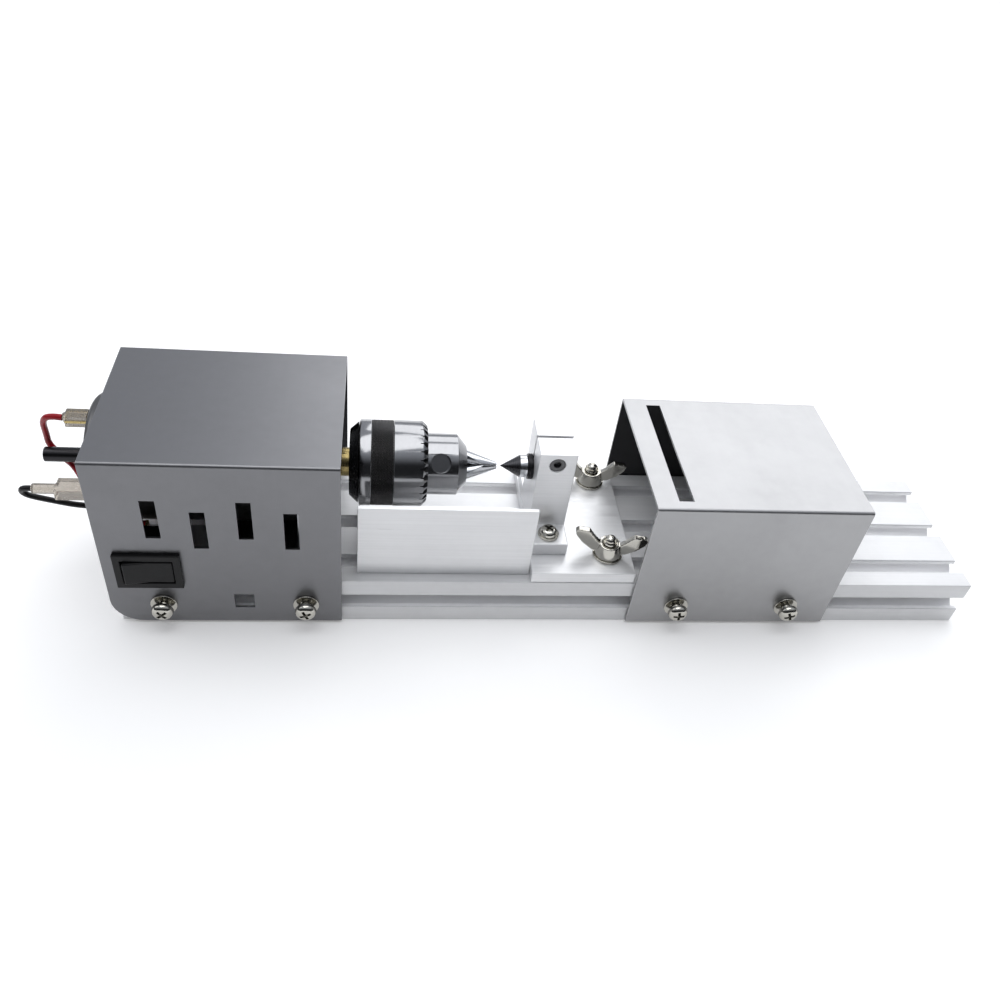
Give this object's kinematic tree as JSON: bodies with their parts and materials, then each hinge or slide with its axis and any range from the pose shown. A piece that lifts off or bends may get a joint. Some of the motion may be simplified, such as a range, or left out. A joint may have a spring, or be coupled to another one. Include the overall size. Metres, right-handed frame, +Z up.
{
  "type": "mini metal lathe",
  "caption": "Mini metal lathe on a slotted aluminium bed, with a motor headstock, key chuck, tool rest, sliding tailstock with live centre and a small saw table.",
  "frame": {"origin": "centre of the bed's underside, in the mouth of its middle slot", "axes": "+X along the bed from the headstock to the saw table, -Y to the operator, +Z up"},
  "size_m": [0.3462, 0.0742, 0.0716],
  "materials": {
    "bed_alloy": "bright anodised extrusion",
    "cover_paint": "satin silver-grey sheet metal",
    "table_metal": "satin sheet metal",
    "nickel": "nickel-plated steel",
    "zinc_steel": "zinc-plated steel",
    "motor_steel": "plain motor steel",
    "black_plastic": "moulded",
    "dark_plastic": "moulded",
    "black_steel": "blackened shaft",
    "brass": "turned",
    "copper": "enamelled copper",
    "iron": "laminated core",
    "magnet": "ferrite",
    "carbon": "carbon brush",
    "chuck_chrome": "polished",
    "jaw_steel": "hardened and ground",
    "machined_alloy": "machined",
    "clear_sleeve": "translucent vinyl",
    "red_vinyl": "wire insulation",
    "black_vinyl": "wire insulation"
  },
  "bodies": {
    "bed": {"bed_extrusion": "bed_alloy", "headstock_cover": "cover_paint", "headstock_cover_screws": "nickel", "headstock_cover_washers": "nickel", "headstock_cover_tee_nuts": "zinc_steel", "switch_housing": "black_plastic", "switch_terminals": "brass", "power_jack": "dark_plastic", "power_jack_nut": "nickel", "motor_can": "motor_steel", "motor_rear_cap": "motor_steel", "motor_rear_bearing": "chuck_chrome", "motor_front_bearing": "chuck_chrome", "motor_magnets": "magnet", "motor_brushes": "carbon", "motor_terminals": "brass", "motor_bracket": "zinc_steel", "motor_mounting_screws": "nickel", "bracket_screws": "nickel", "bracket_tee_nuts": "zinc_steel", "red_connector": "clear_sleeve", "black_connector": "clear_sleeve", "red_lead": "red_vinyl", "black_lead": "black_vinyl", "supply_lead": "red_vinyl"},
    "spindle": {"motor_shaft": "black_steel", "motor_rotor": "iron", "motor_commutator": "copper", "motor_windings": "copper", "spindle_coupling": "brass", "coupling_set_screws": "black_steel", "chuck_body": "chuck_chrome"},
    "chuck_sleeve": {"chuck_sleeve": "chuck_chrome", "chuck_nut_ring": "jaw_steel"},
    "chuck_jaw_1": {"chuck_jaw_1": "jaw_steel"},
    "chuck_jaw_2": {"chuck_jaw_2": "jaw_steel"},
    "chuck_jaw_3": {"chuck_jaw_3": "jaw_steel"},
    "switch_rocker": {"switch_rocker": "black_plastic"},
    "tool_rest": {"tool_rest": "machined_alloy", "tool_rest_screws": "nickel", "tool_rest_washers": "nickel", "tool_rest_tee_nuts": "zinc_steel"},
    "tailstock": {"slide_plate": "machined_alloy", "tail_block": "machined_alloy", "tail_block_screws": "nickel", "tail_block_washers": "nickel", "wing_bolts": "nickel", "wing_washers": "nickel"},
    "centre_quill": {"centre_shank": "jaw_steel", "centre_bearing": "chuck_chrome"},
    "centre_point": {"centre_point": "jaw_steel"},
    "tail_clamp_screw": {"tail_clamp_screw": "nickel"},
    "wing_nut_front": {"wing_nut_front": "nickel"},
    "wing_nut_rear": {"wing_nut_rear": "nickel"},
    "saw_table": {"saw_table_cover": "table_metal", "saw_table_cover_screws": "nickel", "saw_table_cover_washers": "nickel", "saw_table_cover_tee_nuts": "zinc_steel"}
  },
  "joints": [
    {"name": "spindle_spin", "type": "hinge", "parent": "bed", "child": "spindle", "pos_m": [-0.0786, 0, 0.0485], "axis": [1, 0, 0], "continuous": true},
    {"name": "chuck_sleeve_turn", "type": "hinge", "parent": "spindle", "child": "chuck_sleeve", "pos_m": [-0.0636, 0, 0.0485], "axis": [1, 0, 0], "range_deg": [0, 2834]},
    {"name": "chuck_jaw_1_slide", "type": "slide", "parent": "spindle", "child": "chuck_jaw_1", "axis": [-0.9781, -0.1966, -0.0677], "range_m": [0, 0.01]},
    {"name": "chuck_jaw_2_slide", "type": "slide", "parent": "spindle", "child": "chuck_jaw_2", "axis": [-0.9781, 0.1569, -0.1364], "range_m": [0, 0.01]},
    {"name": "chuck_jaw_3_slide", "type": "slide", "parent": "spindle", "child": "chuck_jaw_3", "axis": [-0.9781, 0.0397, 0.2041], "range_m": [0, 0.01]},
    {"name": "switch_rock", "type": "hinge", "parent": "bed", "child": "switch_rocker", "pos_m": [-0.1427, -0.0305, 0.0266], "axis": [0, 0, 1], "range_deg": [-10, 0]},
    {"name": "tool_rest_slide", "type": "slide", "parent": "bed", "child": "tool_rest", "axis": [1, 0, 0], "range_m": [-0.015, 0]},
    {"name": "tailstock_slide", "type": "slide", "parent": "bed", "child": "tailstock", "axis": [1, 0, 0], "range_m": [0, 0.022]},
    {"name": "centre_quill_slide", "type": "slide", "parent": "tailstock", "child": "centre_quill", "axis": [1, 0, 0], "range_m": [-0.0011, 0]},
    {"name": "centre_spin", "type": "hinge", "parent": "centre_quill", "child": "centre_point", "pos_m": [-0.019, 0, 0.0485], "axis": [1, 0, 0], "continuous": true},
    {"name": "tail_clamp_turn", "type": "hinge", "parent": "tailstock", "child": "tail_clamp_screw", "pos_m": [-0.0078, 0, 0.0576], "axis": [0, 1, 0], "range_deg": [0, 180]},
    {"name": "wing_nut_front_turn", "type": "hinge", "parent": "tailstock", "child": "wing_nut_front", "pos_m": [0.014, -0.02, 0.03], "axis": [0, 0, 1], "range_deg": [-20, 50]},
    {"name": "wing_nut_rear_turn", "type": "hinge", "parent": "tailstock", "child": "wing_nut_rear", "pos_m": [0.014, 0.02, 0.03], "axis": [0, 0, 1], "range_deg": [-30, 40]},
    {"name": "saw_table_slide", "type": "slide", "parent": "bed", "child": "saw_table", "axis": [1, 0, 0], "range_m": [0, 0.054]}
  ],
  "couplings": [
    {"joint": "chuck_jaw_1_slide", "follows": "chuck_sleeve_turn", "m_per_rad": 0.00020213},
    {"joint": "chuck_jaw_2_slide", "follows": "chuck_sleeve_turn", "m_per_rad": 0.00020213},
    {"joint": "chuck_jaw_3_slide", "follows": "chuck_sleeve_turn", "m_per_rad": 0.00020213}
  ]
}
